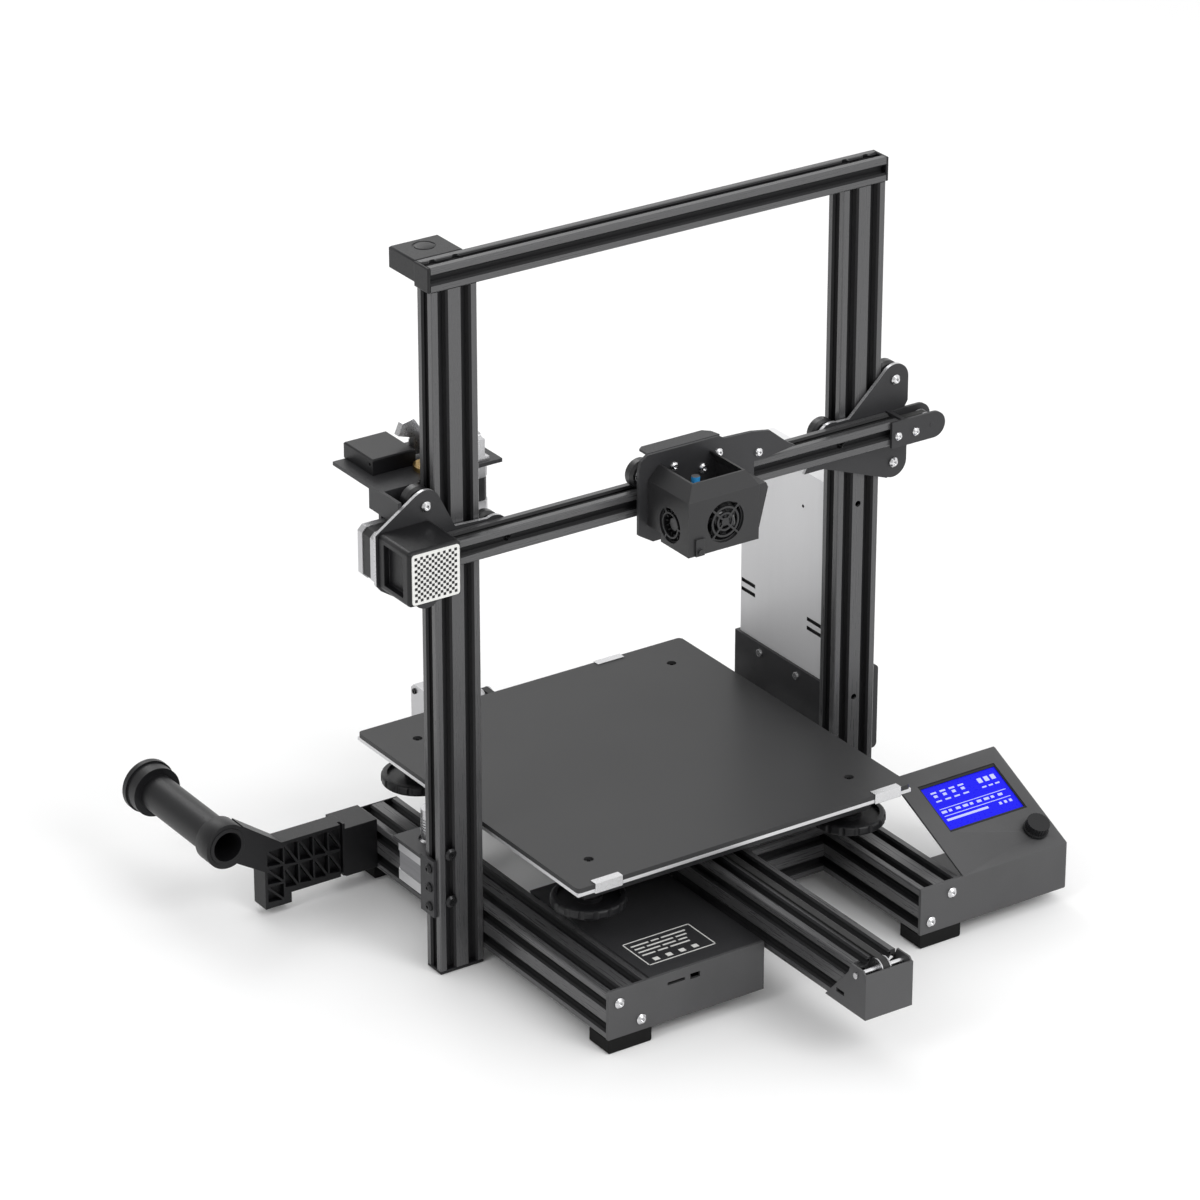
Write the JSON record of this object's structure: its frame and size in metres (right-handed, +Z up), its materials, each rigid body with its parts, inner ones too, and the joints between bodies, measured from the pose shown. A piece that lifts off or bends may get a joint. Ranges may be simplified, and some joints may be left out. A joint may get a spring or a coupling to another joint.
{
  "type": "fused-filament 3d printer",
  "caption": "Open-gantry fused-filament printer: slotted black frame, sliding bed, belt-driven head on a screw-lifted beam, side spool arm and angled control panel.",
  "frame": {"origin": "bottom centre of the whole machine's outline, at table level", "axes": "+X to the operator's right, +Y to the rear, +Z up"},
  "size_m": [0.601, 0.59, 0.592],
  "materials": {
    "black_anodised": "satin black anodised extrusion",
    "black_steel": "fine-textured black powder coat",
    "black_plastic": "matt moulded plastic",
    "foot_rubber": "matt rubber",
    "belt_rubber": "ribbed rubber",
    "bright_screws": "bright zinc plate",
    "motor_body": "cast end caps with dark laminations",
    "psu_metal": "brushed light-grey metal",
    "circuit_board": "solder-masked board",
    "lcd": "backlit blue display in a dark bezel",
    "pulley_metal": "machined",
    "brass": "machined",
    "wheel_polymer": "hard black polymer with steel bolts",
    "hot_metal": "machined",
    "bed_metal": "sawn edge",
    "plate_coating": "opaque dark grey textured coating"
  },
  "bodies": {
    "frame": {"side_rails": "black_anodised", "cross_beams": "black_anodised", "y_rail": "black_anodised", "uprights": "black_anodised", "top_beam": "black_anodised", "end_caps": "black_plastic", "feet": "foot_rubber", "frame_screws": "bright_screws", "electronics_case": "black_steel", "electronics_lid": "black_steel", "main_board": "circuit_board", "psu_case": "psu_metal", "psu_cover": "black_steel", "display_housing": "black_steel", "lcd_module": "lcd", "spool_arm": "black_plastic", "spool_tube": "black_plastic", "base_motors": "motor_body", "motor_brackets": "black_steel", "screw_top_block": "black_plastic", "y_belt": "belt_rubber", "y_tensioner": "black_steel"},
    "gantry": {"x_beam": "black_anodised", "z_plate_left": "black_steel", "z_plate_right": "black_steel", "z_wheels": "wheel_polymer", "lead_nut": "brass", "extruder_bracket": "black_steel", "gantry_motors": "motor_body", "x_motor_cover": "black_plastic", "x_belt": "belt_rubber", "x_tensioner": "black_steel", "extruder_block": "pulley_metal", "filament_sensor": "black_plastic"},
    "head": {"head_plate": "black_steel", "head_wheels": "wheel_polymer", "fan_shroud": "black_steel", "hot_end": "hot_metal"},
    "bed": {"y_carriage": "black_steel", "y_wheels": "wheel_polymer", "heated_bed": "bed_metal", "build_plate": "plate_coating", "bed_clips": "bright_screws", "bed_springs": "bright_screws"},
    "lead_screw": {"lead_screw": "bright_screws"},
    "y_motor_pulley": {"y_motor_pulley": "pulley_metal"},
    "y_idler_pulley": {"y_idler_pulley": "pulley_metal"},
    "encoder_shaft": {"encoder_shaft": "bright_screws"},
    "encoder_knob": {"encoder_knob": "black_plastic"},
    "power_switch": {"power_switch": "black_plastic"},
    "x_motor_pulley": {"x_motor_pulley": "pulley_metal"},
    "x_idler_pulley": {"x_idler_pulley": "pulley_metal"},
    "extruder_gear": {"extruder_gear": "brass"},
    "extruder_lever": {"extruder_lever": "pulley_metal"},
    "hotend_fan": {"hotend_fan": "black_plastic"},
    "part_fan": {"part_fan": "black_plastic"},
    "level_knob_front_left": {"level_knob_front_left": "black_plastic"},
    "level_knob_front_right": {"level_knob_front_right": "black_plastic"},
    "level_knob_rear_left": {"level_knob_rear_left": "black_plastic"},
    "level_knob_rear_right": {"level_knob_rear_right": "black_plastic"}
  },
  "joints": [
    {"name": "z_slide", "type": "slide", "parent": "frame", "child": "gantry", "axis": [0, 0, 1], "range_m": [-0.2218, 0.118]},
    {"name": "x_slide", "type": "slide", "parent": "gantry", "child": "head", "axis": [1, 0, 0], "range_m": [-0.142, 0.158]},
    {"name": "y_slide", "type": "slide", "parent": "frame", "child": "bed", "axis": [0, 1, 0], "range_m": [-0.247, 0.053]},
    {"name": "lead_screw_spin", "type": "hinge", "parent": "frame", "child": "lead_screw", "pos_m": [-0.16, 0.0497, 0.3], "axis": [0, 0, 1], "continuous": true},
    {"name": "x_motor_pulley_spin", "type": "hinge", "parent": "gantry", "child": "x_motor_pulley", "pos_m": [-0.213, -0.0065, 0.37], "axis": [0, 1, 0], "continuous": true},
    {"name": "x_idler_pulley_spin", "type": "hinge", "parent": "gantry", "child": "x_idler_pulley", "pos_m": [0.265, -0.0065, 0.37], "axis": [0, 1, 0], "continuous": true},
    {"name": "y_motor_pulley_spin", "type": "hinge", "parent": "frame", "child": "y_motor_pulley", "pos_m": [0.027, 0.266, 0.07856], "axis": [1, 0, 0], "continuous": true},
    {"name": "y_idler_pulley_spin", "type": "hinge", "parent": "frame", "child": "y_idler_pulley", "pos_m": [0.027, -0.28375, 0.07856], "axis": [1, 0, 0], "continuous": true},
    {"name": "extruder_gear_spin", "type": "hinge", "parent": "gantry", "child": "extruder_gear", "pos_m": [-0.1335, 0.058, 0.42], "axis": [0, 0, 1], "continuous": true},
    {"name": "extruder_lever_swing", "type": "hinge", "parent": "gantry", "child": "extruder_lever", "pos_m": [-0.1185, 0.074, 0.42], "axis": [0, 0, 1], "range_deg": [-8, 0], "stiffness_Nm_per_rad": 2},
    {"name": "hotend_fan_spin", "type": "hinge", "parent": "head", "child": "hotend_fan", "pos_m": [0.024, -0.0727, 0.37], "axis": [0, 1, 0], "continuous": true},
    {"name": "part_fan_spin", "type": "hinge", "parent": "head", "child": "part_fan", "pos_m": [-0.002, -0.055, 0.366], "axis": [1, 0, 0], "continuous": true},
    {"name": "encoder_press", "type": "slide", "parent": "frame", "child": "encoder_shaft", "axis": [0, 0.4208, -0.9071], "range_m": [0, 0.0008], "stiffness_N_per_m": 1500},
    {"name": "encoder_knob_spin", "type": "hinge", "parent": "encoder_shaft", "child": "encoder_knob", "pos_m": [0.281, -0.14996, 0.06545], "axis": [0, -0.4208, 0.9071], "continuous": true},
    {"name": "power_switch_rock", "type": "hinge", "parent": "frame", "child": "power_switch", "pos_m": [0.243, 0.144, 0.086], "axis": [1, 0, 0], "range_deg": [0, 14]},
    {"name": "level_knob_front_left_spin", "type": "hinge", "parent": "bed", "child": "level_knob_front_left", "pos_m": [-0.0965, -0.0735, 0.08], "axis": [0, 0, 1], "continuous": true},
    {"name": "level_knob_front_right_spin", "type": "hinge", "parent": "bed", "child": "level_knob_front_right", "pos_m": [0.1505, -0.0735, 0.08], "axis": [0, 0, 1], "continuous": true},
    {"name": "level_knob_rear_left_spin", "type": "hinge", "parent": "bed", "child": "level_knob_rear_left", "pos_m": [-0.0965, 0.1735, 0.08], "axis": [0, 0, 1], "continuous": true},
    {"name": "level_knob_rear_right_spin", "type": "hinge", "parent": "bed", "child": "level_knob_rear_right", "pos_m": [0.1505, 0.1735, 0.08], "axis": [0, 0, 1], "continuous": true}
  ],
  "couplings": [
    {"joint": "lead_screw_spin", "follows": "z_slide", "rad_per_m": -785.4},
    {"joint": "x_motor_pulley_spin", "follows": "x_slide", "rad_per_m": 157.08},
    {"joint": "x_idler_pulley_spin", "follows": "x_slide", "rad_per_m": 157.08},
    {"joint": "y_motor_pulley_spin", "follows": "y_slide", "rad_per_m": -130.91},
    {"joint": "y_idler_pulley_spin", "follows": "y_slide", "rad_per_m": -130.91}
  ]
}
